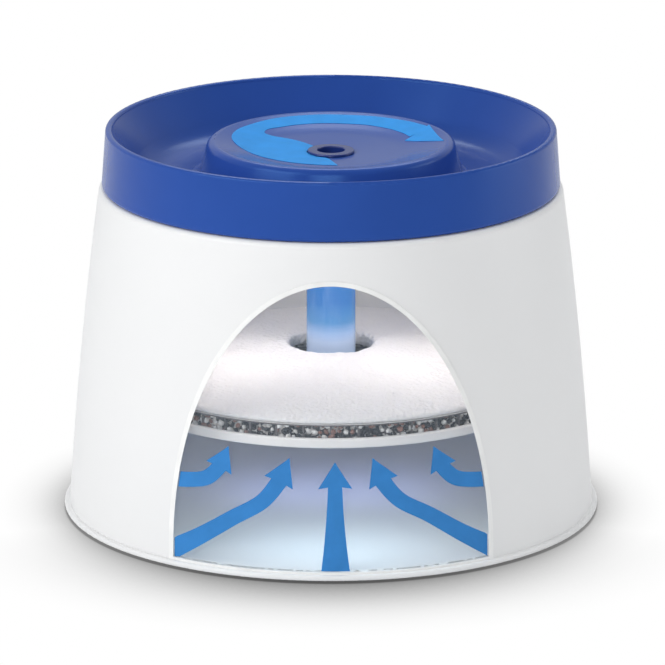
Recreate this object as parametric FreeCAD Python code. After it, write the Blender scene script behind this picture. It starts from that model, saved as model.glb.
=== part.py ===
import FreeCAD, Part
import math
import os
from FreeCAD import Vector

# A pet water fountain. A white conical tub holds the water, and its front has a clear arched window.
# A perforated tray stands on ribs inside the tub. It carries a ring of carbon under a domed fibre pad,
# and a well in its middle holds the pump. The pump pushes filtered water up a riser tube to a blue bowl,
# where it runs over a raised dish, falls into the drinking trough and drains back into the tub.
# Millimetres, +Z up. The origin is on the table, under the middle of the tub. The window faces -Y.

# Clearances
seat_gap = 0.2
press_gap = 0.02
running_gap = 0.06

# Rubber feet
foot_count = 4
foot_thickness = 2.0
foot_radius = 9.0
foot_inset = 21.6
foot_pocket_depth = 1.0
foot_pocket_gap = 0.2

# Tub
bead_overhang = 2.4
bead_round = 1.1
floor_thickness = 2.5
wall_thickness = 3.0
wall_top_radius = 103.6
wall_spread = 14.0
wall_bow = 1.2
shoulder_height = 147.0
shoulder_round = 2.5
floor_round = 4.0
neck_height = 10.0
neck_wall = 2.2
neck_fit = 0.5
neck_chamfer = 4.5

# Ribs that carry the tray
rib_places = 6
rib_thickness = 3.0
rib_reach = 4.0

# Arched window
arch_half_width = 69.0
arch_spring_height = 8.0
arch_rise = 121.0
gasket_side = 2.0
gasket_sill = 1.0
gasket_proud = 0.5
pane_thickness = 2.0
pane_recess = 0.5

# Cable entry in the back wall
notch_half_width = 5.5
notch_drop = 8.0
grommet_gap = 0.15
grommet_flange = 1.7
grommet_overlap = 2.0
cable_bore_radius = 2.7

# Filter tray
tray_underside_height = 53.0
tray_plate = 2.5
tray_rim_height = 4.4
tray_rim_wall = 2.4
tray_fit = 0.7
well_radius = 33.5
well_wall = 2.2
well_depth = 18.0
tray_slots_per_ring = 24
tray_slot_width = 3.4
tray_slot_margin = 4.5
tray_slot_bridge = 4.0

# Filter cartridge
cartridge_inner_radius = 40.0
cartridge_rim_gap = 0.3
cage_wall = 0.8
cage_ring_width = 2.2
cage_ring_height = 0.8
cage_bars = 48
cage_bar_width = 1.0
carbon_depth = 7.3
pad_hole_radius = 18.5
pad_hole_thickness = 6.0
pad_edge_thickness = 2.4
pad_crown_rise = 12.0
pad_round = 1.6

# Pump
pump_width = 36.0
pump_height = 26.0
pump_round = 3.0
chamber_radius = 11.0
chamber_depth = 9.5
chamber_front = 8.4
rotor_well_depth = 16.0
motor_back_wall = 5.5
cup_height = 1.8
cup_radius = 5.0
cup_inset = 6.0
nozzle_radius = 7.8
nozzle_bore_radius = 5.0
nozzle_height = 10.0
cover_plate = 1.8
cover_margin = 0.6
eye_radius = 6.2
spider_radius = 3.3
spoke_width = 1.4
seal_width = 0.6
seal_depth = 0.9
shaft_radius = 1.0
bush_radius = 3.0
bush_length = 2.5
impeller_radius = 9.4
impeller_hub_radius = 4.0
impeller_end_gap = 1.4
blade_count = 6
blade_thickness = 1.2
rotor_radius = 5.4
rotor_gap = 0.7
intake_depth = 8.0
intake_wall = 1.6
intake_slits_per_side = 3
intake_slit_width = 1.4
intake_slit_pitch = 2.6
intake_slit_margin = 5.0
intake_window_outer = 6.8
intake_window_inner = 3.0
dial_radius = 8.2
dial_thickness = 1.6
dial_grip_height = 2.0
dial_grip_width = 2.4
dial_axle_radius = 1.5
gland_radius = 3.6
gland_length = 4.5
gland_bore_radius = 2.2

# Riser tube
riser_radius = 11.0
riser_plug_depth = 8.0

# Bowl
bowl_height = 26.3
bowl_wall = 2.2
bowl_step = 1.4
skirt_flare = 2.0
skirt_foot_round = 1.8
rim_width = 3.0
rim_round = 1.3
trough_depth = 22.7
trough_round = 9.0
basin_foot_inset = 14.0
island_radius = 54.5
island_skirt = 5.0
island_drop = 6.2
island_lip_round = 3.2
dish_depth = 5.4
dish_flat_radius = 34.0
dish_flat_rise = 1.2
spout_hole_radius = 8.5
drain_slots = 5
drain_slot_width = 4.0
drain_slot_length = 11.0
drain_slot_step = 13.0
socket_fit = 0.35
socket_wall = 2.0
socket_depth = 16.0
riser_end_gap = 1.5
seal_lip_gap = 0.15
seal_lip_height = 3.0
spout_ring_wall = 2.4
spout_ring_flange = 2.0
spout_ring_lip = 1.0

# Heights and radii that follow from the sizes above
wall_foot_radius = wall_top_radius + wall_spread
bead_radius = wall_foot_radius + bead_overhang
foot_circle_radius = wall_foot_radius - foot_inset
ground_gap = foot_thickness - foot_pocket_depth
floor_top = ground_gap + floor_thickness
shoulder_z = ground_gap + shoulder_height
notch_z = shoulder_z - notch_drop
neck_top = shoulder_z + neck_height
skirt_radius = wall_top_radius - bowl_step
skirt_inner_radius = skirt_radius - bowl_wall
neck_outer_radius = skirt_inner_radius - neck_fit
neck_top_radius = neck_outer_radius - skirt_flare * neck_height / bowl_height
neck_inner_radius = neck_top_radius - neck_wall
tray_radius = neck_inner_radius - tray_fit
tray_z = ground_gap + tray_underside_height
tray_top = tray_z + tray_plate
tray_rim_top = tray_z + tray_rim_height
well_floor = tray_top - well_depth
cartridge_radius = tray_radius - tray_rim_wall - cartridge_rim_gap
cartridge_z = tray_top + seat_gap
carbon_top = cartridge_z + carbon_depth
pump_z = well_floor + seat_gap + cup_height
pump_top = pump_z + pump_height
pump_axis_z = pump_z + pump_height / 2
chamber_back = chamber_depth - chamber_front
rotor_well_end = chamber_back + rotor_well_depth
pump_back = rotor_well_end + motor_back_wall
cover_front = -chamber_front - cover_plate
intake_front = cover_front - intake_depth
nozzle_top = pump_top + nozzle_height
riser_z = nozzle_top - riser_plug_depth
bowl_z = shoulder_z + seat_gap
rim_z = bowl_z + bowl_height
rim_radius = skirt_radius - skirt_flare
trough_z = rim_z - trough_depth
island_z = rim_z - island_drop
dish_z = island_z - dish_depth
riser_top = dish_z - bowl_wall - riser_end_gap
riser_bore_radius = nozzle_radius + press_gap

AXIS = Vector(0, 0, 1)
ORIGIN = Vector(0, 0, 0)
FRONT = -90.0


# Outlines

def rz(radius, height):
    """A point of a section that is turned about Z."""
    return Vector(radius, 0, height)


def line(a, b):
    return Part.LineSegment(a, b).toShape()


def arc(a, middle, b):
    return Part.Arc(a, middle, b).toShape()


def unit(v):
    return Vector(v).multiply(1.0 / v.Length)


def corner(before, at, after, radius):
    """Start, middle and end of the arc that rounds a corner."""
    into = unit(at - before)
    out = unit(after - at)
    turn = into.getAngle(out)
    if radius <= 0 or turn < 1e-6:
        return at, at, at
    reach = radius * math.tan(turn / 2)
    depth = radius * (1 / math.cos(turn / 2) - 1)
    return at - into * reach, at + unit(out - into) * depth, at + out * reach


def rounded_edges(points, radii, closed):
    """Straight edges through the points, with each corner rounded by its radius."""
    count = len(points)
    cuts = []
    for i, point in enumerate(points):
        if closed or 0 < i < count - 1:
            cuts.append(corner(points[i - 1], point, points[(i + 1) % count], radii[i]))
        else:
            cuts.append((point, point, point))
    edges = []
    for i in range(count if closed else count - 1):
        start, end = cuts[i][2], cuts[(i + 1) % count][0]
        if (end - start).Length > 1e-6:
            edges.append(line(start, end))
        first, middle, last = cuts[(i + 1) % count]
        if (last - first).Length > 1e-6:
            edges.append(arc(first, middle, last))
    return edges


def outline(points, radii=None):
    """A flat face with rounded corners."""
    radii = radii or [0] * len(points)
    return Part.Face(Part.Wire(rounded_edges(points, radii, True)))


def offset_path(points, distance):
    """The path moved sideways in the XZ plane, to the right of its direction."""
    moved = []
    sides = []
    for a, b in zip(points, points[1:]):
        along = unit(b - a)
        sides.append(Vector(along.z, 0, -along.x))
    for i, point in enumerate(points):
        one = sides[max(i - 1, 0)]
        two = sides[min(i, len(sides) - 1)]
        moved.append(point + (one + two) * (distance / (1 + one.dot(two))))
    return moved


def wall_section(points, radii, wall):
    """A section of even wall below a path, whose rounded corners keep the wall even."""
    below = offset_path(points, wall)
    below_radii = []
    for i, radius in enumerate(radii):
        if not 0 < i < len(points) - 1 or radius == 0:
            below_radii.append(0)
            continue
        into, out = points[i] - points[i - 1], points[i + 1] - points[i]
        turns_right = into.z * out.x - into.x * out.z > 0
        below_radii.append(max(radius - wall, 0.2) if turns_right else radius + wall)
    edges = rounded_edges(points, radii, False)
    edges += rounded_edges(below, below_radii, False)
    edges.append(line(points[0], below[0]))
    edges.append(line(points[-1], below[-1]))
    return Part.Face(Part.Wire(Part.__sortEdges__(edges)))


def turned(face):
    return face.revolve(ORIGIN, AXIS, 360)


def ring(inner, outer, low, high):
    return Part.makeCylinder(outer, high - low, rz(0, low)).cut(Part.makeCylinder(inner, high - low, rz(0, low)))


def rod(radius, front, back, x=0.0, z=0.0):
    """A round bar along Y, on the pump's axis unless x or z moves it."""
    return Part.makeCylinder(radius, back - front, Vector(x, front, pump_axis_z + z), Vector(0, 1, 0))


def spun(shape, angle, centre=ORIGIN, axis=AXIS):
    copy = shape.copy()
    copy.rotate(centre, axis, angle)
    return copy


def block(x0, x1, y0, y1, z0, z1):
    return Part.makeBox(x1 - x0, y1 - y0, z1 - z0, Vector(x0, y0, z0))


def fused(shapes):
    whole = shapes[0]
    if len(shapes) > 1:
        whole = whole.multiFuse(shapes[1:])
    return whole.removeSplitter()


# The tub's bowed wall, as one circle in section

def wall_circle():
    """Centre radius, centre height and radius of the circle that the outer wall follows."""
    foot = rz(wall_foot_radius, floor_top)
    top = rz(wall_top_radius, shoulder_z - shoulder_round)
    chord = top - foot
    radius = (chord.Length ** 2 / 4 + wall_bow ** 2) / (2 * wall_bow)
    outward = unit(Vector(chord.z, 0, -chord.x))
    centre = (foot + top) * 0.5 - outward * (radius - wall_bow)
    return centre.x, centre.z, radius


def wall_radius(height, depth=0.0):
    """Radius of the surface that lies at a depth under the outer wall."""
    centre_radius, centre_height, radius = wall_circle()
    return centre_radius + math.sqrt(radius ** 2 - (height - centre_height) ** 2) - depth


def wall_arc(depth, low, high):
    middle = (low + high) / 2
    return arc(rz(wall_radius(low, depth), low), rz(wall_radius(middle, depth), middle),
               rz(wall_radius(high, depth), high))


def wall_band(outer_depth, inner_depth, low, high):
    """A ring that follows the wall, between two depths under its outer face."""
    outside = wall_arc(outer_depth, low, high)
    inside = wall_arc(inner_depth, low, high)
    bottom = line(rz(wall_radius(low, outer_depth), low), rz(wall_radius(low, inner_depth), low))
    top = line(rz(wall_radius(high, outer_depth), high), rz(wall_radius(high, inner_depth), high))
    return turned(Part.Face(Part.Wire(Part.__sortEdges__([outside, top, inside, bottom]))))


def arch_prism(side, sill):
    """The arch as a bar that runs back from the front, grown by the gasket where asked."""
    half = arch_half_width + side
    spring = ground_gap + arch_spring_height
    rise = arch_rise + side
    bottom = floor_top + gasket_sill - sill
    ellipse = Part.Ellipse(rz(0, spring + rise), rz(half, spring), rz(0, spring))
    crown = Part.ArcOfEllipse(ellipse, -math.pi / 2, math.pi / 2).toShape()
    edges = [crown, line(rz(-half, spring), rz(-half, bottom)), line(rz(-half, bottom), rz(half, bottom)),
             line(rz(half, bottom), rz(half, spring))]
    face = Part.Face(Part.Wire(Part.__sortEdges__(edges)))
    face.translate(Vector(0, -bead_radius - wall_thickness, 0))
    return face.extrude(Vector(0, bead_radius / 2, 0))


def notch_prism(shrink, low_y, high_y, top):
    """The cable notch as a bar along Y with a round bottom."""
    half = notch_half_width - shrink
    z = notch_z
    round_end = Part.makeCylinder(half, high_y - low_y, Vector(0, low_y, z), Vector(0, 1, 0))
    return round_end.fuse(block(-half, half, low_y, high_y, z, top)).removeSplitter()


# Tub, window and feet

def tub_blank():
    """The tub before its window and cable notch are cut."""
    inner_top = shoulder_z - wall_thickness
    inner_wall_top = inner_top - neck_chamfer
    inner_foot = wall_radius(floor_top + floor_round, wall_thickness)
    diagonal = floor_round * (1 - math.sqrt(0.5))
    edges = rounded_edges(
        [rz(0, ground_gap), rz(bead_radius, ground_gap), rz(bead_radius, floor_top), rz(wall_foot_radius, floor_top)],
        [0, bead_round, bead_round, 0], False)
    edges.append(wall_arc(0, floor_top, shoulder_z - shoulder_round))
    round_diagonal = shoulder_round * (1 - math.sqrt(0.5))
    edges.append(arc(rz(wall_top_radius, shoulder_z - shoulder_round),
                     rz(wall_top_radius - round_diagonal, shoulder_z - round_diagonal),
                     rz(wall_top_radius - shoulder_round, shoulder_z)))
    edges += rounded_edges(
        [rz(wall_top_radius - shoulder_round, shoulder_z), rz(neck_outer_radius, shoulder_z),
         rz(neck_top_radius, neck_top), rz(neck_inner_radius, neck_top), rz(neck_inner_radius, inner_top),
         rz(wall_radius(inner_wall_top, wall_thickness), inner_wall_top)],
        [0, 0, neck_wall * 0.3, neck_wall * 0.3, 0, 0], False)
    edges.append(wall_arc(wall_thickness, floor_top + floor_round, inner_wall_top))
    edges.append(arc(rz(inner_foot, floor_top + floor_round),
                     rz(inner_foot - diagonal, floor_top + diagonal),
                     rz(inner_foot - floor_round, floor_top)))
    edges.append(line(rz(inner_foot - floor_round, floor_top), rz(0, floor_top)))
    edges.append(line(rz(0, floor_top), rz(0, ground_gap)))
    return turned(Part.Face(Part.Wire(Part.__sortEdges__(edges))))


def tray_ribs():
    """Upright ribs on the wall that the tray stands on. None stands in front of the window."""
    inner = tray_radius - rib_reach
    upright = block(inner, bead_radius, -rib_thickness / 2, rib_thickness / 2, floor_top - floor_thickness / 2,
                    tray_z - seat_gap)
    kept = turned(Part.Face(Part.Wire(Part.__sortEdges__([
        wall_arc(wall_thickness / 2, floor_top, tray_z),
        line(rz(wall_radius(tray_z, wall_thickness / 2), tray_z), rz(0, tray_z)),
        line(rz(0, tray_z), rz(0, floor_top - floor_thickness / 2)),
        line(rz(0, floor_top - floor_thickness / 2),
             rz(wall_radius(floor_top, wall_thickness / 2), floor_top - floor_thickness / 2)),
        line(rz(wall_radius(floor_top, wall_thickness / 2), floor_top - floor_thickness / 2),
             rz(wall_radius(floor_top, wall_thickness / 2), floor_top)),
    ]))))
    upright = upright.common(kept)
    step = 360.0 / rib_places
    return [spun(upright, FRONT + step * i) for i in range(1, rib_places)]


def foot_places():
    turn = 360.0 / foot_count
    return [(foot_circle_radius * math.cos(math.radians(turn * (i + 0.5))),
             foot_circle_radius * math.sin(math.radians(turn * (i + 0.5)))) for i in range(foot_count)]


def housing():
    tub = fused([tub_blank()] + tray_ribs())
    tub = tub.cut(arch_prism(gasket_side, gasket_sill))
    tub = tub.cut(notch_prism(0, neck_inner_radius / 2, bead_radius, neck_top + neck_height))
    for x, y in foot_places():
        tub = tub.cut(Part.makeCylinder(foot_radius + foot_pocket_gap, foot_pocket_depth, Vector(x, y, ground_gap)))
    return tub


def rubber_feet():
    feet = []
    for x, y in foot_places():
        foot = turned(outline([rz(0, 0), rz(foot_radius, 0), rz(foot_radius, foot_thickness), rz(0, foot_thickness)],
                              [0, foot_thickness * 0.4, 0, 0]))
        foot.translate(Vector(x, y, 0))
        feet.append(foot)
    return Part.makeCompound(feet)


def window_gasket():
    band = wall_band(-gasket_proud, wall_thickness + gasket_proud, floor_top, shoulder_z - shoulder_round)
    return band.common(arch_prism(gasket_side, gasket_sill)).cut(arch_prism(0, 0))


def window_pane():
    band = wall_band(pane_recess, pane_recess + pane_thickness, floor_top, shoulder_z - shoulder_round)
    return band.common(arch_prism(0, 0))


def cable_grommet():
    """A rubber plug that fills the notch, with lips inside and outside the wall."""
    top = shoulder_z - seat_gap
    lip_top = shoulder_z - wall_thickness - seat_gap
    lip_low = notch_z - notch_half_width - grommet_overlap
    far = bead_radius
    near = neck_inner_radius / 2
    body = tub_blank().common(notch_prism(grommet_gap, near, far, top))
    lips = [wall_band(-grommet_flange, 0, lip_low, lip_top),
            wall_band(wall_thickness, wall_thickness + grommet_flange, lip_low, lip_top - neck_chamfer)]
    lips = [lip.common(notch_prism(-grommet_overlap, near, far, lip_top)) for lip in lips]
    bore = Part.makeCylinder(cable_bore_radius, far - near, Vector(0, near, notch_z),
                             Vector(0, 1, 0))
    return fused([body] + lips).cut(bore)


# Filter tray and cartridge

def filter_tray():
    outer = well_radius + well_wall
    rim = tray_radius - tray_rim_wall
    tray = turned(outline(
        [rz(0, well_floor - tray_plate), rz(outer, well_floor - tray_plate), rz(outer, tray_z), rz(tray_radius, tray_z),
         rz(tray_radius, tray_rim_top), rz(rim, tray_rim_top), rz(rim, tray_top), rz(well_radius, tray_top),
         rz(well_radius, well_floor), rz(0, well_floor)],
        [0, well_wall, well_wall * 0.5, tray_plate * 0.3, tray_rim_wall * 0.4, tray_rim_wall * 0.4, 0,
         well_wall * 0.4, well_wall * 0.5, 0]))
    first = outer + tray_slot_margin
    last = rim - tray_slot_margin
    length = (last - first - tray_slot_bridge) / 2
    slots = []
    for start in (first, first + length + tray_slot_bridge):
        slot = block(start, start + length, -tray_slot_width / 2, tray_slot_width / 2, tray_z - tray_plate,
                     tray_top + tray_plate)
        slots += [spun(slot, 360.0 * i / tray_slots_per_ring) for i in range(tray_slots_per_ring)]
    return tray.cut(slots)


def cartridge_cage():
    """Two hoops joined by thin bars, which hold the carbon's edge and let it show."""
    inner = cartridge_radius - cage_ring_width
    low = ring(inner, cartridge_radius, cartridge_z, cartridge_z + cage_ring_height)
    high = ring(inner, cartridge_radius, carbon_top - cage_ring_height, carbon_top)
    middle = (inner + cartridge_radius) / 2
    bar = block(middle - cage_wall / 2, middle + cage_wall / 2, -cage_bar_width / 2, cage_bar_width / 2,
                cartridge_z + cage_ring_height * 0.5, carbon_top - cage_ring_height * 0.5)
    bars = [spun(bar, 360.0 * i / cage_bars) for i in range(cage_bars)]
    return fused([low, high] + bars)


def carbon_bed():
    outer = cartridge_radius - cage_ring_width - press_gap
    return ring(cartridge_inner_radius, outer, cartridge_z, carbon_top)


def filter_pad():
    """The domed fibre pad. Its hole leaves room for the riser tube and the pump's cable."""
    low = carbon_top
    edge_top = low + pad_edge_thickness
    hole_top = low + pad_crown_rise
    hole_low = hole_top - pad_hole_thickness
    mid_radius = (pad_hole_radius + cartridge_radius) / 2
    mid_top = edge_top + (hole_top - edge_top) * 0.68
    flat = cartridge_inner_radius
    mid_under_radius = (flat + pad_hole_radius) / 2
    mid_under = low + (hole_low - low) * 0.6
    edges = [
        arc(rz(cartridge_radius - pad_round, edge_top), rz(mid_radius, mid_top), rz(pad_hole_radius + pad_round, hole_top)),
        arc(rz(pad_hole_radius + pad_round, hole_top), rz(pad_hole_radius + pad_round * 0.3, hole_top - pad_round * 0.3),
            rz(pad_hole_radius, hole_top - pad_round)),
        line(rz(pad_hole_radius, hole_top - pad_round), rz(pad_hole_radius, hole_low)),
        arc(rz(pad_hole_radius, hole_low), rz(mid_under_radius, mid_under), rz(flat, low)),
        line(rz(flat, low), rz(cartridge_radius, low)),
        line(rz(cartridge_radius, low), rz(cartridge_radius, edge_top - pad_round)),
        arc(rz(cartridge_radius, edge_top - pad_round),
            rz(cartridge_radius - pad_round * 0.3, edge_top - pad_round * 0.3),
            rz(cartridge_radius - pad_round, edge_top)),
    ]
    return turned(Part.Face(Part.Wire(Part.__sortEdges__(edges))))


# Pump. Its rotor turns about the Y axis, and its outlet stands on the Z axis.

def slab(half_width, low, high, front, back, round_radius):
    """A bar along Y with rounded long edges."""
    face = outline([rz(-half_width, low), rz(half_width, low), rz(half_width, high), rz(-half_width, high)],
                   [round_radius] * 4)
    face.translate(Vector(0, front, 0))
    return face.extrude(Vector(0, back - front, 0))


def pump_body():
    body = slab(pump_width / 2, pump_z, pump_top, -chamber_front, pump_back, pump_round)
    nozzle = Part.makeCylinder(nozzle_radius, nozzle_height + pump_round, rz(0, pump_top - pump_round))
    body = fused([body, nozzle])
    body = body.cut(rod(chamber_radius, -chamber_front, chamber_back))
    body = body.cut(rod(rotor_radius + rotor_gap, chamber_back, rotor_well_end))
    body = body.cut(rod(bush_radius, rotor_well_end, rotor_well_end + bush_length))
    groove = rod(chamber_radius + 2 * seal_width, -chamber_front, seal_depth - chamber_front)
    groove = groove.cut(rod(chamber_radius + seal_width, -chamber_front, seal_depth - chamber_front))
    body = body.cut(groove)
    port_low = pump_axis_z + chamber_radius * 0.7
    return body.cut(Part.makeCylinder(nozzle_bore_radius, nozzle_top - port_low, rz(0, port_low)))


def chamber_seal():
    seal = rod(chamber_radius + 2 * seal_width, -chamber_front, seal_depth - chamber_front)
    return seal.cut(rod(chamber_radius + seal_width, -chamber_front, seal_depth - chamber_front))


def chamber_cover():
    """The plate in front of the impeller. A three-armed spider in its eye holds the front bush."""
    plate = slab(pump_width / 2 - cover_margin, pump_z + cover_margin, pump_top - cover_margin, cover_front,
                 -chamber_front, pump_round)
    plate = plate.cut(rod(eye_radius, cover_front, -chamber_front))
    hub = rod(spider_radius, cover_front, -chamber_front)
    spoke = block(-spoke_width / 2, spoke_width / 2, cover_front, -chamber_front, pump_axis_z,
                  pump_axis_z + eye_radius + spoke_width)
    centre = Vector(0, 0, pump_axis_z)
    spokes = [spun(spoke, 120.0 * i, centre, Vector(0, 1, 0)) for i in range(3)]
    return fused([plate, hub] + spokes).cut(rod(front_bush_radius(), cover_front, -chamber_front))


def front_bush_radius():
    return (spider_radius + shaft_radius) / 2


def front_bush():
    outer = rod(front_bush_radius() - press_gap, cover_front, -chamber_front)
    return outer.cut(rod(shaft_radius + press_gap, cover_front, -chamber_front))


def rear_bush():
    back = rotor_well_end + bush_length
    return rod(bush_radius - press_gap, rotor_well_end, back).cut(rod(shaft_radius + press_gap, rotor_well_end, back))


def impeller_shaft():
    return rod(shaft_radius, cover_front, rotor_well_end + bush_length)


def impeller():
    front = impeller_end_gap - chamber_front
    back = chamber_back + rotor_gap
    blade_back = chamber_back - rotor_gap
    hub = rod(impeller_hub_radius, front, back)
    blade = block(-blade_thickness / 2, blade_thickness / 2, front, blade_back, pump_axis_z,
                  pump_axis_z + impeller_radius)
    centre = Vector(0, 0, pump_axis_z)
    blades = [spun(blade, 360.0 * i / blade_count, centre, Vector(0, 1, 0)) for i in range(blade_count)]
    return fused([hub] + blades).cut(rod(shaft_radius + running_gap, front, back))


def rotor_magnet():
    front = chamber_back + rotor_gap
    back = rotor_well_end - rotor_gap
    return rod(rotor_radius, front, back).cut(rod(shaft_radius + running_gap, front, back))


def windows(inner, outer, front, back):
    """Three openings in a ring, with arms between them."""
    hole = rod(outer, front, back).cut(rod(inner, front, back))
    arm = block(-spoke_width, spoke_width, front, back, pump_axis_z, pump_axis_z + outer + inner)
    centre = Vector(0, 0, pump_axis_z)
    for i in range(3):
        hole = hole.cut(spun(arm, 120.0 * i, centre, Vector(0, 1, 0)))
    return hole


def intake_cover():
    """The strainer box in front of the pump, with slits and the windows that the dial closes."""
    half = pump_width / 2 - cover_margin
    low, high = pump_z + cover_margin, pump_top - cover_margin
    box = slab(half, low, high, intake_front, cover_front, pump_round)
    box = box.cut(slab(half - intake_wall, low + intake_wall, high - intake_wall, intake_front + intake_wall,
                       cover_front, pump_round - intake_wall))
    box = box.cut(windows(intake_window_inner, intake_window_outer, intake_front, intake_front + intake_wall))
    slits = []
    for side in (-1, 1):
        for i in range(intake_slits_per_side):
            x = side * (half - intake_wall - intake_slit_width - i * intake_slit_pitch)
            if abs(x) - intake_slit_width / 2 > dial_radius - intake_slit_pitch:
                slits.append(block(x - intake_slit_width / 2, x + intake_slit_width / 2, intake_front,
                                   intake_front + intake_wall, low + intake_slit_margin, high - intake_slit_margin))
    box = box.cut(slits)
    return box.cut(rod(dial_axle_radius + running_gap, intake_front, intake_front + intake_wall))


def flow_dial():
    """A disc that turns over the intake windows to trim the flow."""
    back = intake_front - seat_gap
    front = back - dial_thickness
    disc = rod(dial_radius, front, back).cut(windows(intake_window_inner, intake_window_outer, front, back))
    axle = rod(dial_axle_radius, back - dial_thickness * 0.5, intake_front + intake_wall)
    grip = block(-dial_grip_width / 2, dial_grip_width / 2, front - dial_grip_height, front + dial_thickness * 0.5,
                 pump_axis_z - intake_window_inner, pump_axis_z + dial_radius * 0.9)
    return fused([disc, axle, grip])


def suction_cups():
    cups = []
    x = pump_width / 2 - cup_inset
    for y in (cup_inset - chamber_front, pump_back - cup_inset):
        for side in (-1, 1):
            cup = turned(outline(
                [rz(0, pump_z), rz(cup_radius * 0.5, pump_z), rz(cup_radius, pump_z - cup_height),
                 rz(cup_radius * 0.8, pump_z - cup_height), rz(0, pump_z - cup_height * 0.4)]))
            cup.translate(Vector(side * x, y, 0))
            cups.append(cup)
    return Part.makeCompound(cups)


def pump_cable_gland():
    """The rubber gland where the supply cable enters the motor. The cable itself is left out."""
    z = pump_height / 4
    gland = rod(gland_radius, pump_back, pump_back + gland_length, z=z)
    return gland.cut(rod(gland_bore_radius, pump_back + gland_length * 0.2, pump_back + gland_length, z=z))


def riser_tube():
    return ring(riser_bore_radius, riser_radius, riser_z, riser_top)


# Bowl

def basin_path():
    """The surface that the water runs over, from the spout hole out to the rim."""
    rim_inner = rim_radius - rim_width
    points = [
        rz(spout_hole_radius, dish_z),
        rz(dish_flat_radius, dish_z + dish_flat_rise),
        rz(island_radius, island_z + island_lip_round * 0.3),
        rz(island_radius + island_skirt, trough_z),
        rz(rim_inner - basin_foot_inset, trough_z),
        rz(rim_inner, rim_z - rim_round),
    ]
    return points, [0, dish_flat_radius, island_lip_round, trough_round * 0.6, trough_round * 1.6, 0]


def basin():
    points, radii = basin_path()
    return turned(wall_section(points, radii, bowl_wall))


def skirt():
    """The outer band of the bowl, from the rim down to its seat on the tub's shoulder."""
    inner = rim_radius - rim_width
    under = rim_z - bowl_wall * 2
    return turned(outline(
        [rz(inner, under), rz(inner, rim_z), rz(rim_radius, rim_z), rz(skirt_radius, bowl_z),
         rz(skirt_inner_radius, bowl_z), rz(rim_radius - bowl_wall, under)],
        [0, rim_round, rim_round, skirt_foot_round, 0, 0]))


def bowl():
    socket_bore = riser_radius + socket_fit
    socket_top = dish_z - bowl_wall
    socket = ring(socket_bore, socket_bore + socket_wall, socket_top - socket_depth, socket_top + bowl_wall * 0.5)
    whole = fused([basin(), skirt(), socket])
    mid_trough = (island_radius + island_skirt + rim_radius - rim_width - basin_foot_inset) / 2
    slots = []
    for i in range(drain_slots):
        slot = block(mid_trough - drain_slot_length / 2, mid_trough + drain_slot_length / 2, -drain_slot_width / 2,
                     drain_slot_width / 2, trough_z - bowl_wall * 2, trough_z + bowl_wall * 2)
        slots.append(spun(slot, -FRONT + drain_slot_step * (i - (drain_slots - 1) / 2)))
    return whole.cut(slots)


def riser_seal():
    """A soft lip under the socket that closes round the riser tube."""
    top = dish_z - bowl_wall - socket_depth
    outer = riser_radius + socket_fit + socket_wall
    return ring(riser_radius + seal_lip_gap, outer, top - seal_lip_height, top)


def spout_ring():
    """The ring that lines the hole where the water comes up."""
    outer = spout_hole_radius - press_gap
    inner = outer - spout_ring_wall
    low = dish_z - bowl_wall
    flange = outer + spout_ring_flange
    seat = dish_z + dish_flat_rise * 0.25
    return turned(outline(
        [rz(inner, low), rz(outer, low), rz(outer, seat), rz(flange, seat),
         rz(flange, seat + spout_ring_lip), rz(inner, seat + spout_ring_lip)],
        [0, 0, 0, 0, spout_ring_lip * 0.6, spout_ring_lip * 0.6]))


PIECES = {
    "housing": housing,
    "rubber_feet": rubber_feet,
    "window_pane": window_pane,
    "window_gasket": window_gasket,
    "cable_grommet": cable_grommet,
    "filter_tray": filter_tray,
    "cartridge_cage": cartridge_cage,
    "carbon_bed": carbon_bed,
    "filter_pad": filter_pad,
    "pump_body": pump_body,
    "chamber_cover": chamber_cover,
    "chamber_seal": chamber_seal,
    "impeller_shaft": impeller_shaft,
    "front_bush": front_bush,
    "rear_bush": rear_bush,
    "intake_cover": intake_cover,
    "suction_cups": suction_cups,
    "pump_cable_gland": pump_cable_gland,
    "riser_tube": riser_tube,
    "impeller": impeller,
    "rotor_magnet": rotor_magnet,
    "flow_dial": flow_dial,
    "bowl": bowl,
    "riser_seal": riser_seal,
    "spout_ring": spout_ring,
}

os.makedirs("parts", exist_ok=True)
for name, make in PIECES.items():
    shape = make()
    solids = shape.Solids
    print(name, len(solids), "solid(s)", round(shape.Volume / 1000, 2), "cm3", "valid" if shape.isValid() else "INVALID")
    result = solids[0] if len(solids) == 1 else Part.makeCompound(solids)
    result.exportStep(os.path.join("parts", name + ".step"))
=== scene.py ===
import math
import random

import bmesh
import bpy
from mathutils import Matrix, Vector, noise

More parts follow.
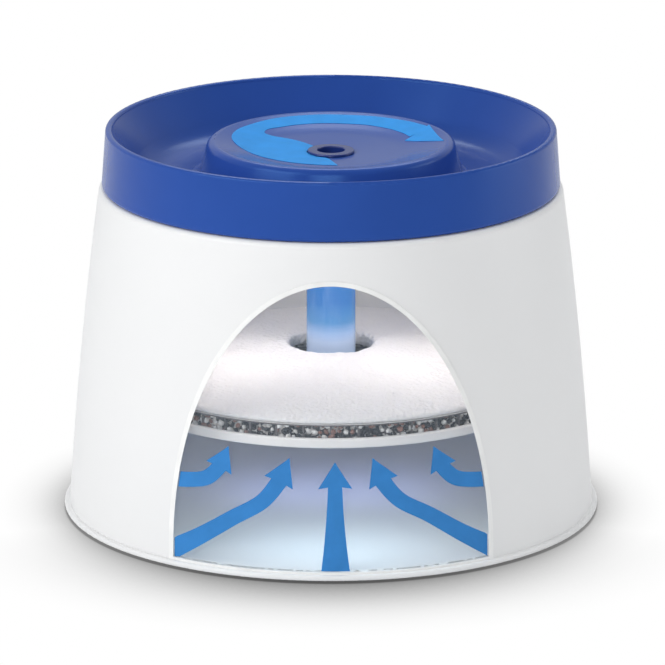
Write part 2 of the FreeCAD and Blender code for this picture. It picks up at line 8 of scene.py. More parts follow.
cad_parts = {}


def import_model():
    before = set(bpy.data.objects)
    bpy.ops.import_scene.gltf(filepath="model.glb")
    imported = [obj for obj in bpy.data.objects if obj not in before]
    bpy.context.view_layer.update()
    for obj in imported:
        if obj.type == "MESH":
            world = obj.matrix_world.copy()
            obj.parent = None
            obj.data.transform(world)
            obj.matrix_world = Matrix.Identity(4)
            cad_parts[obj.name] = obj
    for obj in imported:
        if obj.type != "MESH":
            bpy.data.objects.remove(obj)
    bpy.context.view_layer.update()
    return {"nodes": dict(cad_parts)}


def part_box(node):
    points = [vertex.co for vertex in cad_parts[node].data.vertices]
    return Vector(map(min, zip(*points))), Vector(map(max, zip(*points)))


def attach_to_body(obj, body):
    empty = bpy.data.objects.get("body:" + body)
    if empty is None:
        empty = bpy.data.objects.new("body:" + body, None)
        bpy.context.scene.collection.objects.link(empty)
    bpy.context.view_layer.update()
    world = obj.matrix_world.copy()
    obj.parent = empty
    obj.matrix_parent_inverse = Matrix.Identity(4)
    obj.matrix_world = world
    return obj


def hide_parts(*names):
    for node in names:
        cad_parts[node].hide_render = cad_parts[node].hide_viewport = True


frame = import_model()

# Blender works in metres. Sizes of shapes are written in millimetres and multiplied by MM where they are
# used. Lamps, camera, stage, shader distances and the heights in a material are in metres.
MM = 0.001
MIX_FACTOR, MIX_FIRST, MIX_SECOND, MIX_RESULT = 0, 6, 7, 2  # the colour sockets of a Mix node
random.seed(7)


# Node helpers

class Shader:
    """A Principled material with a few short ways to wire procedural detail into it."""

    def __init__(self, name, color, rough, **sockets):
        self.material = bpy.data.materials.new(name)
        self.material.use_nodes = True
        self.nodes = self.material.node_tree.nodes
        self.links = self.material.node_tree.links
        self.bsdf = self.nodes["Principled BSDF"]
        self.set(self.bsdf, "Base Color", (*color, 1.0))
        self.set(self.bsdf, "Roughness", rough)
        for socket, value in sockets.items():
            self.set(self.bsdf, socket.replace("_", " "), value)
        self.color = color
        self.coords = self.nodes.new("ShaderNodeTexCoord").outputs["Object"]

    def set(self, node, socket, value):
        if hasattr(value, "is_output"):
            self.links.new(value, node.inputs[socket])
        else:
            node.inputs[socket].default_value = value

    def noise(self, scale, detail=3.0, roughness=0.55, vector=None):
        node = self.nodes.new("ShaderNodeTexNoise")
        self.set(node, "Vector", vector or self.coords)
        self.set(node, "Scale", scale)
        self.set(node, "Detail", detail)
        self.set(node, "Roughness", roughness)
        return node.outputs["Fac"]

    def voronoi(self, scale, output="Distance"):
        node = self.nodes.new("ShaderNodeTexVoronoi")
        self.set(node, "Vector", self.coords)
        self.set(node, "Scale", scale)
        return node.outputs[output]

    def stretched(self, x, y, z):
        node = self.nodes.new("ShaderNodeMapping")
        self.set(node, "Vector", self.coords)
        self.set(node, "Scale", (x, y, z))
        return node.outputs["Vector"]

    def ramp(self, factor, stops):
        node = self.nodes.new("ShaderNodeValToRGB")
        self.set(node, "Fac", factor)
        ends = node.color_ramp.elements
        while len(ends) < len(stops):
            ends.new(0.5)
        for element, (place, color) in zip(ends, stops):
            element.position = place
            element.color = (*color, 1.0) if len(color) == 3 else color
        return node.outputs["Color"]

    def grey(self, factor, low_at, high_at, low, high):
        return self.ramp(factor, [(low_at, (low,) * 3), (high_at, (high,) * 3)])

    def mix(self, factor, one, two):
        node = self.nodes.new("ShaderNodeMix")
        node.data_type = "RGBA"
        self.set(node, MIX_FACTOR, factor)
        self.set(node, MIX_FIRST, one)
        self.set(node, MIX_SECOND, two)
        return node.outputs[MIX_RESULT]

    def height(self):
        split = self.nodes.new("ShaderNodeSeparateXYZ")
        self.links.new(self.coords, split.inputs[0])
        return split.outputs["Z"]

    def span(self, value, low, high):
        node = self.nodes.new("ShaderNodeMapRange")
        self.set(node, "Value", value)
        self.set(node, "From Min", low)
        self.set(node, "From Max", high)
        return node.outputs["Result"]

    def bump(self, height, strength, distance, under=None):
        node = self.nodes.new("ShaderNodeBump")
        self.set(node, "Height", height)
        self.set(node, "Strength", strength)
        self.set(node, "Distance", distance)
        if under:
            self.links.new(under, node.inputs["Normal"])
        self.links.new(node.outputs["Normal"], self.bsdf.inputs["Normal"])
        return node.outputs["Normal"]

    def shades(self, amount, scale):
        """Colour that drifts a little lighter and darker across the surface."""
        dark = tuple(c * (1 - amount) for c in self.color)
        light = tuple(min(1.0, c * (1 + amount)) for c in self.color)
        color = self.ramp(self.noise(scale), [(0.15, dark), (0.85, light)])
        self.set(self.bsdf, "Base Color", color)
        return color

    def gloss(self, low, high, scale):
        self.set(self.bsdf, "Roughness", self.grey(self.noise(scale), 0.15, 0.85, low, high))


def plastic(name, color, rough, drift=0.03, grain=0.06, grain_scale=2600):
    """Moulded plastic: a slow drift of colour and gloss, and a fine mould grain."""
    shader = Shader(name, color, rough)
    shader.shades(drift, 26)
    shader.gloss(rough * 0.85, rough * 1.2, 60)
    shader.bump(shader.noise(grain_scale, 2), grain, 0.00012)
    return shader.material


def rubber(name, color, rough=0.62):
    shader = Shader(name, color, rough, Specular_IOR_Level=0.35)
    shader.shades(0.08, 90)
    shader.bump(shader.noise(1800, 4), 0.25, 0.0002)
    return shader.material


# Materials

def tub_material():
    """White plastic that lets a little light into its skin."""
    shader = Shader("tub_plastic", (0.80, 0.80, 0.80), 0.34, Specular_IOR_Level=0.4, Subsurface_Weight=0.04,
                    Subsurface_Radius=(0.004, 0.004, 0.004), Subsurface_Scale=1.0)
    shader.shades(0.012, 14)
    shader.gloss(0.30, 0.40, 45)
    shader.bump(shader.noise(3200, 2), 0.05, 0.0001)
    return shader.material


def bowl_material():
    shader = Shader("bowl_plastic", (0.022, 0.068, 0.320), 0.24, Specular_IOR_Level=0.40,
                    Specular_Tint=(0.22, 0.52, 1.0, 1.0))
    shader.shades(0.08, 18)
    shader.gloss(0.21, 0.28, 30)
    shader.bump(shader.noise(2400, 2), 0.05, 0.0001)
    return shader.material


def pane_material():
    shader = Shader("pane_plastic", (0.70, 0.82, 0.95), 0.04, Alpha=0.05, Specular_IOR_Level=0.5)
    shader.bump(shader.noise(40, 1), 0.05, 0.0004)
    return shader.material


RISER_PALE_AT, RISER_DEEP_AT = 0.070, 0.132


def riser_material():
    """Clear blue tube: pale at the pad, deeper blue towards the bowl, with soft streaks along it."""
    shader = Shader("riser_plastic", (0.10, 0.35, 0.80), 0.16, Alpha=0.96, Specular_IOR_Level=0.3)
    up = shader.span(shader.height(), RISER_PALE_AT, RISER_DEEP_AT)
    streaks = shader.noise(60, 4, vector=shader.stretched(6.0, 6.0, 0.6))
    color = shader.ramp(up, [(0.12, (0.47, 0.60, 0.84)), (0.18, (0.32, 0.48, 0.78)),
                             (0.27, (0.055, 0.24, 0.55)), (0.42, (0.008, 0.145, 0.46)),
                             (1.0, (0.008, 0.12, 0.44))])
    pale = shader.mix(shader.grey(streaks, 0.50, 0.75, 0.0, 0.10), color, (0.50, 0.62, 0.90, 1.0))
    shader.set(shader.bsdf, "Base Color", pale)
    shader.bump(streaks, 0.2, 0.0006)
    return shader.material


def pad_material():
    """White fibre with pores and darker gaps between the fibres."""
    shader = Shader("pad_fibre", (0.82, 0.80, 0.81), 0.9, Specular_IOR_Level=0.15, Sheen_Weight=0.25,
                    Sheen_Roughness=0.5)
    fibres = shader.noise(700, 6, 0.7)
    pores = shader.voronoi(520)
    tone = shader.ramp(shader.noise(160, 5), [(0.28, (0.64, 0.62, 0.63)), (0.50, (0.80, 0.78, 0.79)),
                                              (0.75, (0.87, 0.86, 0.86))])
    tone = shader.mix(shader.grey(pores, 0.02, 0.34, 0.0, 1.0), tone, (0.84, 0.83, 0.83, 1.0))
    tone = shader.mix(shader.grey(fibres, 0.30, 0.42, 0.35, 0.0), tone, (0.50, 0.47, 0.48, 1.0))
    shader.set(shader.bsdf, "Base Color", tone)
    under = shader.bump(pores, 0.65, 0.0009)
    shader.bump(fibres, 0.55, 0.0006, under=under)
    return shader.material


def cage_material():
    """White along its two edges. In between, the hoops and bars are dark with the carbon's dust."""
    shader = Shader("cage_plastic", (0.76, 0.75, 0.74), 0.48)
    low, high = (corner.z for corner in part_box("carbon_bed"))
    clean, dust = (0.0, 0.0, 0.0), (1.0, 1.0, 1.0)
    dusty = shader.ramp(shader.span(shader.height(), low, high),
                        [(0.0, clean), (0.04, dust), (0.96, dust), (1.0, clean)])
    color = shader.mix(dusty, shader.shades(0.03, 26), (0.10, 0.09, 0.09, 1.0))
    shader.set(shader.bsdf, "Base Color", color)
    shader.gloss(0.41, 0.57, 60)
    shader.bump(shader.noise(2600, 2), 0.06, 0.00012)
    return shader.material


def granule_material(name, color):
    shader = Shader(name, color, 0.55, Specular_IOR_Level=0.4)
    shader.shades(0.35, 420)
    shader.bump(shader.noise(1500, 5), 0.6, 0.0004)
    return shader.material


def carbon_material():
    shader = Shader("carbon_mix", (0.03, 0.03, 0.03), 0.7)
    cells = shader.voronoi(620, output="Color")
    split = shader.nodes.new("ShaderNodeSeparateColor")
    shader.links.new(cells, split.inputs[0])
    tone = shader.ramp(split.outputs[0], [(0.0, (0.012, 0.012, 0.013)), (0.52, (0.05, 0.045, 0.045)),
                                          (0.60, (0.45, 0.42, 0.40)), (1.0, (0.72, 0.70, 0.68))])
    shader.set(shader.bsdf, "Base Color", tone)
    shader.bump(shader.voronoi(620), 0.9, 0.0012)
    return shader.material


def print_material(name, color):
    shader = Shader(name, color, 0.55, Specular_IOR_Level=0.12)
    shader.shades(0.10, 120)
    shader.bump(shader.noise(2600, 2), 0.05, 0.0001)
    return shader.material


def ferrite_material():
    shader = Shader("ferrite", (0.05, 0.05, 0.055), 0.5, Metallic=0.25)
    shader.shades(0.2, 300)
    shader.bump(shader.noise(1800, 4), 0.3, 0.0002)
    return shader.material


MATERIALS = {
    "housing": tub_material(),
    "window_pane": pane_material(),
    "window_gasket": rubber("gasket_rubber", (0.86, 0.86, 0.85), 0.45),
    "rubber_feet": rubber("foot_rubber", (0.45, 0.46, 0.47)),
    "cable_grommet": rubber("grommet_rubber", (0.62, 0.62, 0.61)),
    "filter_tray": plastic("tray_plastic", (0.84, 0.82, 0.80), 0.42),
    "cartridge_cage": cage_material(),
    "carbon_bed": carbon_material(),
    "pump_body": plastic("pump_plastic", (0.018, 0.020, 0.024), 0.42, 0.15, 0.25, 1400),
    "chamber_cover": plastic("cover_plastic", (0.024, 0.026, 0.030), 0.38, 0.15, 0.20, 1400),
    "chamber_seal": rubber("seal_rubber", (0.02, 0.02, 0.02)),
    "impeller_shaft": plastic("shaft_ceramic", (0.82, 0.81, 0.78), 0.12, 0.02, 0.02),
    "front_bush": rubber("bush_rubber", (0.03, 0.03, 0.03)),
    "rear_bush": rubber("rear_bush_rubber", (0.03, 0.03, 0.03)),
    "intake_cover": plastic("intake_plastic", (0.020, 0.022, 0.026), 0.40, 0.15, 0.25, 1400),
    "suction_cups": rubber("cup_rubber", (0.035, 0.035, 0.037), 0.4),
    "pump_cable_gland": rubber("gland_rubber", (0.02, 0.02, 0.02)),
    "riser_tube": riser_material(),
    "impeller": plastic("impeller_plastic", (0.62, 0.62, 0.60), 0.4),
    "rotor_magnet": ferrite_material(),
    "flow_dial": plastic("dial_plastic", (0.05, 0.16, 0.42), 0.36, 0.08, 0.15, 1600),
    "bowl": bowl_material(),
    "riser_seal": rubber("lip_rubber", (0.70, 0.70, 0.69), 0.5),
    "spout_ring": plastic("spout_plastic", (0.012, 0.030, 0.17), 0.25, 0.06),
}
for node, material in MATERIALS.items():
    for material_slot in frame["nodes"][node].material_slots:
        material_slot.material = material


# Mesh helpers

def new_object(name, mesh, material=None):
    obj = bpy.data.objects.new(name, mesh)
    bpy.context.scene.collection.objects.link(obj)
    if material:
        mesh.materials.append(material)
    return obj


def from_bmesh(name, bm, material, smooth=True):
    mesh = bpy.data.meshes.new(name)
    bm.normal_update()
    bm.to_mesh(mesh)
    bm.free()
    for polygon in mesh.polygons:
        polygon.use_smooth = smooth
    return new_object(name, mesh, material)


def attach(obj, body):
    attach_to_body(obj, body)


def smooth_curve(points, steps):
    """Points along a Catmull-Rom curve."""
    padded = [2 * points[0] - points[1]] + points + [2 * points[-1] - points[-2]]
    out = []
    for i in range(1, len(padded) - 2):
        a, b, c, d = padded[i - 1:i + 3]
        for k in range(steps):
            t = k / steps
            out.append(0.5 * ((2 * b) + (c - a) * t + (2 * a - 5 * b + 4 * c - d) * t * t
                              + (3 * b - a - 3 * c + d) * t ** 3))
    out.append(points[-1])
    return out


# Filter pad: the domed pad as a soft, slightly lumpy body

PAD_TURNS = 288
PAD_STEP = 2.0
PAD_CROWN = [(24, 0.975), (34, 0.92), (46, 0.84), (58, 0.73), (70, 0.58), (80, 0.44), (88, 0.31)]
PAD_EDGE_BAND = 2.2  # up to this height over the pad's foot the lumps are flattened
PAD_EDGE_FREEDOM = 0.15  # the share of them that is left there


def pad_profile():
    """Radius and height round the pad's section, anticlockwise from the hole's lower edge.

    The crown's points give a radius and a share of the pad's height.
    """
    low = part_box("filter_pad")[0].z / MM
    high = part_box("filter_pad")[1].z / MM
    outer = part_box("filter_pad")[1].x / MM
    hole = min(math.hypot(vert.co.x, vert.co.y) for vert in frame["nodes"]["filter_pad"].data.vertices) / MM
    rise = high - low
    crown = [(hole + 1.2, 0.985)] + PAD_CROWN + [(outer - 1.4, 0.215)]
    top = [(radius, low + rise * share) for radius, share in crown]
    edge = [(outer - 0.4, low + rise * 0.14), (outer - 0.4, low + 0.4)]
    under = [(outer - 1.2, low + 0.1), (70, low + 0.1), (41, low + 0.1), (32, low + rise * 0.21),
             (24, low + rise * 0.40), (hole + 0.8, low + rise * 0.50)]
    return [(hole + 0.1, low + rise * 0.54), (hole + 0.1, low + rise * 0.90)] + top + edge + under


def turned(profile, step, turns):
    """A closed section of (radius, height, 0) points turned round Z, with edges of about one step."""
    rings = []
    for a, b in zip(profile, profile[1:] + profile[:1]):
        cuts = max(1, round((b - a).length / step))
        rings += [a.lerp(b, i / cuts) for i in range(cuts)]
    bm = bmesh.new()
    loops = []
    for ring in rings:
        loops.append([bm.verts.new((ring.x * math.cos(a) * MM, ring.x * math.sin(a) * MM, ring.y * MM))
                      for a in (2 * math.pi * i / turns for i in range(turns))])
    for one, two in zip(loops, loops[1:] + loops[:1]):
        for i in range(turns):
            bm.faces.new((one[i], two[i], two[(i + 1) % turns], one[(i + 1) % turns]))
    bmesh.ops.recalc_face_normals(bm, faces=bm.faces)
    bm.normal_update()
    return bm


def filter_pad():
    bm = turned([Vector((r, z, 0)) for r, z in pad_profile()], PAD_STEP, PAD_TURNS)
    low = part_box("filter_pad")[0].z
    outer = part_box("filter_pad")[1].x
    for vert in bm.verts:
        lump = noise.fractal(vert.co * 90, 1.0, 2.0, 2) * 0.45 + noise.noise(vert.co * 420) * 0.30
        free = 1.0 if vert.co.z > low + PAD_EDGE_BAND * MM else PAD_EDGE_FREEDOM
        vert.co += vert.normal * (lump - 0.25) * MM * free
    for vert in bm.verts:
        vert.co.z = max(vert.co.z, low)
        radius = math.hypot(vert.co.x, vert.co.y)
        if radius > outer:
            vert.co.x *= outer / radius
            vert.co.y *= outer / radius
    pad = from_bmesh("pad", bm, pad_material())
    attach(pad, "cartridge")
    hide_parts("filter_pad")


# Carbon granules that show between the hoops of the cartridge

GRANULE_COUNT = 640
GRANULE_ROWS = 3
GRANULE_SMALLEST, GRANULE_LARGEST = 0.95, 1.65
GRANULE_PROUD = 0.35  # from the carbon's edge out to a granule's middle, at least
GRANULE_REACH = 2.1  # from the carbon's edge out to a granule's furthest point, at most
GRANULE_KINDS = [("granule_black", (0.012, 0.012, 0.014), 0.40), ("granule_white", (0.78, 0.76, 0.74), 0.42),
                 ("granule_brown", (0.25, 0.13, 0.10), 0.18)]


def granule_kind(pick):
    """The kind, by its place in the list, for a random share of all the granules."""
    black, white = GRANULE_KINDS[0][2], GRANULE_KINDS[1][2]
    return 0 if pick < black else 1 if pick < black + white else 2


def granules():
    low, high = (corner.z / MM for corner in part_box("carbon_bed"))
    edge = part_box("carbon_bed")[1].x / MM
    source = bmesh.new()
    bmesh.ops.create_icosphere(source, subdivisions=1, radius=1.0)
    shape = [vert.co.copy() for vert in source.verts]
    faces = [[vert.index for vert in face.verts] for face in source.faces]
    source.free()
    bm = bmesh.new()
    for i in range(GRANULE_COUNT):
        row = i % GRANULE_ROWS
        angle = 2 * math.pi * (i + random.uniform(-0.35, 0.35)) / GRANULE_COUNT
        size = random.uniform(GRANULE_SMALLEST, GRANULE_LARGEST)
        radius = edge + GRANULE_PROUD + random.uniform(0.0, 0.6)
        spread = (high - low - 2 * size * 0.9) * (row / (GRANULE_ROWS - 1))
        height = low + size * 0.9 + spread + random.uniform(-0.25, 0.25)
        height = min(max(height, low + size * 0.75), high - size * 0.75)
        turn = Matrix.Rotation(random.uniform(0, 6.28), 3,
                               Vector((random.random(), random.random(), 1)).normalized())
        squash = Vector((random.uniform(0.7, 1.0), random.uniform(0.8, 1.3), random.uniform(0.7, 1.05)))
        kind = granule_kind(random.random())
        centre = Vector((radius * math.cos(angle), radius * math.sin(angle), height))
        verts = []
        for co in shape:
            bent = Vector((co.x * squash.x, co.y * squash.y, co.z * squash.z)) * size
            bent = turn @ (bent * random.uniform(0.82, 1.12))
            place = centre + bent
            reach = math.hypot(place.x, place.y)
            limit = edge + GRANULE_REACH
            if reach > limit:
                place.x *= limit / reach
                place.y *= limit / reach
            place.z = min(max(place.z, low + 0.02), high - 0.02)
            verts.append(bm.verts.new(place * MM))
        for face in faces:
            bm.faces.new([verts[k] for k in face]).material_index = kind
    mesh = bpy.data.meshes.new("granules")
    bm.normal_update()
    bm.to_mesh(mesh)
    bm.free()
    obj = new_object("granules", mesh)
    for name, color, _ in GRANULE_KINDS:
        mesh.materials.append(granule_material(name, color))
    attach(obj, "cartridge")


# Printed flow marks. Each is a thin sheet that follows the surface it is printed on.

PRINT_LIFT = 0.06
PRINT_THICKNESS = 0.12
HEAD_LIFT = 0.03  # a head lies this far over its shaft, so that the two share no face
NECK_SHARE = 0.25  # how far along its head a shaft runs
ARROW_ACROSS = 4
HEAD_STEPS = 6
CURVE_STEPS = 8


def between(table, at):
    """The value at a place, straight between the entries of a sorted table of (place, value)."""
    for (place, value), (next_place, next_value) in zip(table, table[1:]):
        if place <= at <= next_place:
            return value + (next_value - value) * (at - place) / (next_place - place)
    return table[0][1] if at < table[0][0] else table[-1][1]


def strip_mesh(bm, rows, place):
    """Quads between rows of (u, v) points, as a closed thin sheet. place(u, v, lift) gives the 3-D point."""
    low = [[bm.verts.new(place(u, v, PRINT_LIFT)) for u, v in row] for row in rows]
    high = [[bm.verts.new(place(u, v, PRINT_LIFT + PRINT_THICKNESS)) for u, v in row] for row in rows]
    last = len(rows) - 1
    across = len(rows[0]) - 1
    for i in range(last):
        for j in range(across):
            bm.faces.new((high[i][j], high[i][j + 1], high[i + 1][j + 1], high[i + 1][j]))
            bm.faces.new((low[i][j], low[i + 1][j], low[i + 1][j + 1], low[i][j + 1]))
        for j in (0, across):
            bm.faces.new((low[i][j], high[i][j], high[i + 1][j], low[i + 1][j]))
    for i in (0, last):
        for j in range(across):
            bm.faces.new((low[i][j], low[i][j + 1], high[i][j + 1], high[i][j]))
    bmesh.ops.recalc_face_normals(bm, faces=bm.faces)


def ribbon_rows(points, widths):
    """Rows of points across a ribbon that follows a curve and changes width."""
    path = smooth_curve([Vector(p) for p in points], CURVE_STEPS)
    sizes = smooth_curve([Vector((w, 0)) for w in widths], CURVE_STEPS)
    rows = []
    for i, point in enumerate(path):
        along = (path[min(i + 1, len(path) - 1)] - path[max(i - 1, 0)]).normalized()
        side = Vector((-along.y, along.x)) * sizes[i].x / 2
        rows.append([tuple(point + side * (1 - 2 * j / ARROW_ACROSS)) for j in range(ARROW_ACROSS + 1)])
    return rows


def head_rows(base, tip, width, back):
    """Rows of an arrowhead from its base, whose corners sweep back, to its tip."""
    base, tip = Vector(base), Vector(tip)
    along = (tip - base).normalized()
    side = Vector((-along.y, along.x)) * width / 2
    rows = []
    for i in range(HEAD_STEPS + 1):
        t = i / HEAD_STEPS
        middle = base.lerp(tip, t)
        row = []
        for j in range(ARROW_ACROSS + 1):
            s = 1 - 2 * j / ARROW_ACROSS
            sweep = along * (-back * abs(s) * (1 - t))
            row.append(tuple(middle + side * (s * max(1 - t, 0.02)) + sweep))
        rows.append(row)
    return rows


# The flow arrows on the window

ARCH_MARGIN = 0.6
SILL_MARGIN = 0.3
ARCH_SPRING = 9.0
ARCH_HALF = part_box("window_pane")[1].x / MM - ARCH_MARGIN
ARCH_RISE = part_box("window_pane")[1].z / MM - ARCH_SPRING - ARCH_MARGIN
ARCH_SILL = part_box("window_pane")[0].z / MM + SILL_MARGIN


def measure_wall():
    """Heights and radii along the pane's outer face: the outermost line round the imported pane's points."""
    points = sorted((vert.co.z / MM, math.hypot(vert.co.x, vert.co.y) / MM)
                    for vert in frame["nodes"]["window_pane"].data.vertices)
    outer = []
    for z, r in points:
        while len(outer) > 1:
            (z0, r0), (z1, r1) = outer[-2:]
            if (z1 - z0) * (r - r0) < (r1 - r0) * (z - z0):
                break
            outer.pop()
        outer.append((z, r))
    return outer


WALL_TABLE = measure_wall()


def on_pane(x, z, lift):
    radius = between(WALL_TABLE, z) + lift
    return Vector((x, -math.sqrt(radius * radius - x * x), z)) * MM


def inside_arch(x, z):
    z = max(z, ARCH_SILL)
    if z > ARCH_SPRING:
        half = ARCH_HALF * math.sqrt(max(0.0, 1 - ((z - ARCH_SPRING) / ARCH_RISE) ** 2))
    else:
        half = ARCH_HALF
    return max(-half, min(half, x)), z


def flow_arrow(name, points, widths, tip, head_width, back, material):
    """An arrow on the pane: a ribbon along the points, and a head from their end to the tip."""
    neck = tuple(Vector(points[-1]).lerp(Vector(tip), NECK_SHARE))
    shaft = ribbon_rows(points + [neck], widths + [widths[-1]])
    head = head_rows(points[-1], tip, head_width, back)
    bm = bmesh.new()
    for part, raised in ((shaft, 0.0), (head, HEAD_LIFT)):
        part = [[inside_arch(u, v) for u, v in row] for row in part]
        strip_mesh(bm, part, lambda u, v, lift: on_pane(u, v, lift + raised))
    attach(from_bmesh(name, bm, material, smooth=False), "base")


def window_arrows():
    """One arrow up the middle, and a long and a short one from each side. The long right one is higher."""
    material = print_material("flow_print", (0.040, 0.215, 0.540))
    flow_arrow("flow_arrow_middle", [(2.0, 4.2), (1.9, 16), (1.8, 30), (1.8, 42.5)], [12.6, 9.8, 7.4, 6.2],
               (1.7, 53.0), 14.8, 1.2, material)
    for side, s, shift in (("left", -1.0, 0.0), ("right", 1.0, 1.5)):
        long_path = [(s * 72.0, 6.2 + shift), (s * 58.0, 15.5 + shift), (s * 43.0, 26.0 + shift),
                     (s * 30.0, 34.5 + shift * 0.5), (s * 22.5, 44.0)]
        flow_arrow("flow_arrow_long_" + side, long_path, [8.6, 7.2, 6.6, 6.6, 7.0],
                   (s * 18.0, 54.5), 13.5, 0.6, material)
        short_path = [(s * 72.0, 39.0), (s * 62.0, 40.2), (s * 54.0, 42.5), (s * 48.5, 48.0)]
        flow_arrow("flow_arrow_short_" + side, short_path, [7.0, 6.6, 6.4, 6.2],
                   (s * 44.5, 57.5), 12.0, 0.6, material)


# The swirl mark on the dish

DISH_RADIUS = 55.5
SPOUT_CLEAR = 11.2  # radii that the mark stays between
LIP_CLEAR = 52.0
SWIRL_ACROSS = 8
SWIRL_HEAD_STEPS = 8
SWIRL_CURVE_STEPS = 6
SWIRL_TIP_HALF = 0.1


def dish_table():
    """Height of the bowl's upper surface by radius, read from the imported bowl."""
    heights = {}
    for vert in frame["nodes"]["bowl"].data.vertices:
        radius = math.hypot(vert.co.x, vert.co.y) / MM
        if radius < DISH_RADIUS and vert.normal.z > 0.2:
            key = round(radius * 2) / 2
            heights[key] = max(heights.get(key, 0), vert.co.z / MM)
    return sorted(heights.items())


DISH_TABLE = dish_table()


def on_dish(x, y, lift):
    return Vector((x, y, between(DISH_TABLE, math.hypot(x, y)) + lift)) * MM


def outside_hole(x, y):
    """Keeps the mark clear of the spout ring and off the dish's lip."""
    radius = math.hypot(x, y)
    limit = min(max(radius, SPOUT_CLEAR), LIP_CLEAR)
    return x * limit / radius, y * limit / radius


def swirl_rows(outer, inner):
    """Rows of points from the mark's outer edge to its inner one."""
    return [[outside_hole(*(a.lerp(b, j / SWIRL_ACROSS))) for j in range(SWIRL_ACROSS + 1)]
            for a, b in zip(outer, inner)]


def polar(radius, degrees):
    return radius * math.cos(math.radians(degrees)), radius * math.sin(math.radians(degrees))


def swirl_arrow():
    """A broad mark that starts in front of the spout, narrows and runs round behind it to the right."""
    material = print_material("swirl_print", (0.020, 0.285, 0.750))
    outer = [(3.0, -27.5), (-8.0, -25.8), (-18.5, -21.8), (-28.0, -15.5), (-36.5, -7.5), (-42.3, 2.0),
             polar(46.3, 163), polar(48.0, 145), polar(49.2, 120), polar(49.3, 95), polar(49.4, 70),
             polar(49.8, 50), polar(50.2, 36), polar(50.4, 29)]
    inner = [(-7.0, 9.0), (-11.5, 14.5), (-16.5, 19.0), (-22.0, 22.0), (-27.0, 23.6), (-29.8, 25.5),
             (-28.5, 29.6), polar(41.0, 125), polar(41.2, 110), polar(41.2, 92), polar(41.2, 70),
             polar(40.8, 52), polar(40.2, 38), polar(39.6, 27)]
    bm = bmesh.new()
    band = swirl_rows(smooth_curve([Vector(p) for p in outer], SWIRL_CURVE_STEPS),
                      smooth_curve([Vector(p) for p in inner], SWIRL_CURVE_STEPS))
    strip_mesh(bm, band, on_dish)
    outer_wing, inner_wing, tip = Vector((44.0, 27.5)), Vector((33.0, 14.0)), Vector((50.0, 0.0))
    half = Vector((SWIRL_TIP_HALF, 0))
    steps = [i / SWIRL_HEAD_STEPS for i in range(SWIRL_HEAD_STEPS)]
    head = swirl_rows([outer_wing.lerp(tip, t) for t in steps] + [tip + half],
                      [inner_wing.lerp(tip, t) for t in steps] + [tip - half])
    strip_mesh(bm, head, lambda x, y, lift: on_dish(x, y, lift + HEAD_LIFT))
    attach(from_bmesh("swirl_arrow", bm, material, smooth=False), "bowl")


filter_pad()
granules()
window_arrows()
swirl_arrow()


# Stage, light and camera

# Each shadow lists shares of open sky with the floor's brightness there. The side's shadow turns into the
# front's between FRONT_STARTS and FRONT_FULL, which are the Y of a direction of length 1 from the middle.
FLOOR_HALF = 6.0
SIDE_REACH = 0.034
SIDE_SHADOW = [(0.46, 0.25), (0.55, 0.43), (0.63, 0.60), (0.72, 0.75), (0.85, 0.91), (1.0, 1.0)]
FRONT_REACH = 0.078
FRONT_SHADOW = [(0.46, 0.10), (0.54, 0.17), (0.63, 0.31), (0.73, 0.51), (0.83, 0.75), (0.92, 0.92),
                (1.0, 1.0)]
FRONT_STARTS, FRONT_FULL = -0.3, -1.0
SHADOW_SAMPLES = 24

# The camera of the photograph: its square frame, its focal length and side shift in pixels, and its elevation
# in radians.
PHOTO_PIXELS = 665
FOCAL_PIXELS = 6693.965
SHIFT_PIXELS = 1.5
SENSOR = 36.0
CAMERA_AIM = Vector((0, 0, 0.07958))
CAMERA_DISTANCE = 3.0
CAMERA_ELEVATION = 0.2745


def floor_shadow(nodes, links, reach, stops):
    """Brightness of the floor from how much of the sky the object hides within a reach in metres."""
    occlusion = nodes.new("ShaderNodeAmbientOcclusion")
    occlusion.samples = SHADOW_SAMPLES
    occlusion.inputs["Distance"].default_value = reach
    ramp = nodes.new("ShaderNodeValToRGB")
    while len(ramp.color_ramp.elements) < len(stops):
        ramp.color_ramp.elements.new(0.5)
    for element, (place, level) in zip(ramp.color_ramp.elements, stops):
        element.position = place
        element.color = (level, level, level, 1.0)
    links.new(occlusion.outputs["AO"], ramp.inputs["Fac"])
    return ramp.outputs["Color"]


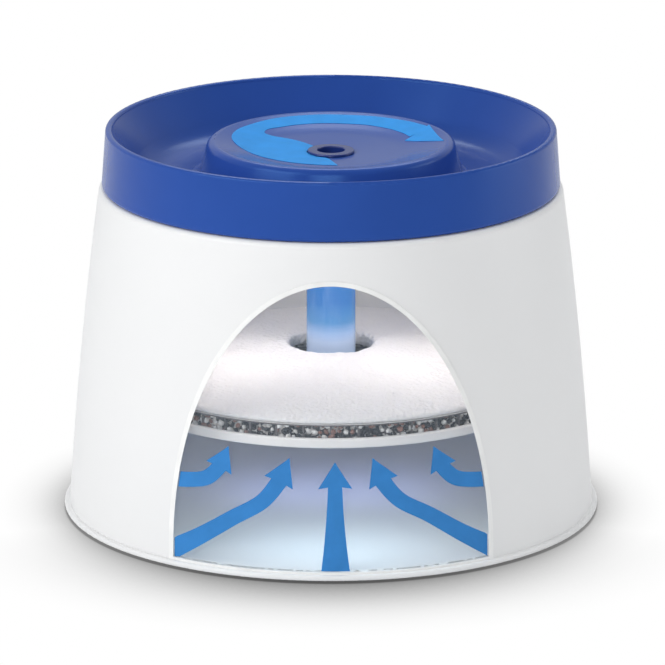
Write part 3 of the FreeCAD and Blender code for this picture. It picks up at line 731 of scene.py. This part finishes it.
def floor_material():
    """The camera sees plain white with a soft shadow, wider in front. Other rays see matt white."""
    material = bpy.data.materials.new("floor_white")
    material.use_nodes = True
    nodes, links = material.node_tree.nodes, material.node_tree.links
    nodes.clear()
    side = floor_shadow(nodes, links, SIDE_REACH, SIDE_SHADOW)
    front = floor_shadow(nodes, links, FRONT_REACH, FRONT_SHADOW)
    place = nodes.new("ShaderNodeTexCoord")
    around = nodes.new("ShaderNodeVectorMath")
    around.operation = "NORMALIZE"
    split = nodes.new("ShaderNodeSeparateXYZ")
    facing = nodes.new("ShaderNodeMapRange")
    facing.inputs["From Min"].default_value = FRONT_STARTS
    facing.inputs["From Max"].default_value = FRONT_FULL
    links.new(place.outputs["Object"], around.inputs[0])
    links.new(around.outputs[0], split.inputs[0])
    links.new(split.outputs["Y"], facing.inputs["Value"])
    blend = nodes.new("ShaderNodeMix")
    blend.data_type = "RGBA"
    links.new(facing.outputs["Result"], blend.inputs[MIX_FACTOR])
    links.new(side, blend.inputs[MIX_FIRST])
    links.new(front, blend.inputs[MIX_SECOND])
    seen = nodes.new("ShaderNodeEmission")
    matt = nodes.new("ShaderNodeBsdfDiffuse")
    matt.inputs["Color"].default_value = (0.86, 0.86, 0.86, 1.0)
    rays = nodes.new("ShaderNodeLightPath")
    mix = nodes.new("ShaderNodeMixShader")
    out = nodes.new("ShaderNodeOutputMaterial")
    links.new(blend.outputs[MIX_RESULT], seen.inputs["Color"])
    links.new(rays.outputs["Is Camera Ray"], mix.inputs[0])
    links.new(matt.outputs[0], mix.inputs[1])
    links.new(seen.outputs[0], mix.inputs[2])
    links.new(mix.outputs[0], out.inputs["Surface"])
    return material


def stage():
    bm = bmesh.new()
    bmesh.ops.create_grid(bm, x_segments=2, y_segments=2, size=FLOOR_HALF)
    from_bmesh("floor", bm, floor_material())


def world():
    """Soft white all round, dimmer from the camera's side."""
    sky = bpy.data.worlds.new("studio")
    bpy.context.scene.world = sky
    sky.use_nodes = True
    nodes, links = sky.node_tree.nodes, sky.node_tree.links
    nodes.clear()
    out = nodes.new("ShaderNodeOutputWorld")
    seen = nodes.new("ShaderNodeBackground")
    seen.inputs["Color"].default_value = (1.0, 1.0, 1.0, 1.0)
    light = nodes.new("ShaderNodeBackground")
    place = nodes.new("ShaderNodeTexCoord")
    split = nodes.new("ShaderNodeSeparateXYZ")
    ramp = nodes.new("ShaderNodeValToRGB")
    depth = nodes.new("ShaderNodeMapRange")
    depth.inputs["From Min"].default_value = -1.0
    depth.inputs["From Max"].default_value = 1.0
    links.new(place.outputs["Generated"], split.inputs[0])
    links.new(split.outputs["Y"], depth.inputs["Value"])
    links.new(depth.outputs["Result"], ramp.inputs["Fac"])
    near, far = ramp.color_ramp.elements
    near.position, near.color = 0.10, (0.30, 0.31, 0.32, 1.0)
    far.position, far.color = 0.55, (0.60, 0.61, 0.62, 1.0)
    links.new(ramp.outputs["Color"], light.inputs["Color"])
    rays = nodes.new("ShaderNodeLightPath")
    mix = nodes.new("ShaderNodeMixShader")
    links.new(rays.outputs["Is Camera Ray"], mix.inputs[0])
    links.new(light.outputs[0], mix.inputs[1])
    links.new(seen.outputs[0], mix.inputs[2])
    links.new(mix.outputs[0], out.inputs[0])


def area(name, place, aim, size, watts, color=(1, 1, 1)):
    """A soft lamp that the camera doesn't see."""
    lamp = bpy.data.lights.new(name, "AREA")
    lamp.shape = "RECTANGLE"
    lamp.size, lamp.size_y = size
    lamp.energy = watts
    lamp.color = color
    obj = bpy.data.objects.new(name, lamp)
    bpy.context.scene.collection.objects.link(obj)
    obj.location = place
    obj.rotation_euler = (Vector(aim) - Vector(place)).to_track_quat("-Z", "Y").to_euler()
    obj.visible_camera = False


def lamps():
    """Four soft lamps round the object, and small ones inside, where the pane lets in too little light."""
    area("key", (-1.15, -0.85, 0.90), (0, 0, 0.08), (1.1, 0.9), 12)
    area("front", (-0.1, -1.7, 0.75), (0, 0, 0.07), (0.8, 0.5), 6.5)
    area("right", (1.55, 0.10, 0.45), (0, 0, 0.09), (0.9, 0.9), 4.2)
    area("above", (0.1, 0.85, 1.15), (0, 0, 0.17), (1.0, 0.5), 5)
    for side in (-1, 1):
        area("inside_filter", (side * 0.050, -0.042, 0.137), (side * 0.034, 0.006, 0.070), (0.05, 0.02),
             0.052, (1.0, 0.93, 0.87))
    area("inside_floor", (0, -0.094, 0.051), (0, -0.060, 0.0), (0.07, 0.008), 0.026, (0.62, 0.85, 1.0))
    area("inside_back", (0, 0.010, 0.033), (0, 0.018, 0.0), (0.09, 0.05), 0.013, (0.42, 0.50, 1.0))


def camera():
    data = bpy.data.cameras.new("photo")
    data.sensor_width = SENSOR
    data.lens = FOCAL_PIXELS / PHOTO_PIXELS * SENSOR
    data.shift_x = SHIFT_PIXELS / PHOTO_PIXELS
    data.clip_end = 50
    obj = bpy.data.objects.new("photo", data)
    bpy.context.scene.collection.objects.link(obj)
    back = Vector((0, -math.cos(CAMERA_ELEVATION), math.sin(CAMERA_ELEVATION)))
    obj.location = CAMERA_AIM + back * CAMERA_DISTANCE
    obj.rotation_euler = (CAMERA_AIM - obj.location).to_track_quat("-Z", "Y").to_euler()
    bpy.context.scene.camera = obj


stage()
world()
camera()
lamps()
bpy.context.scene.view_settings.view_transform = "Standard"
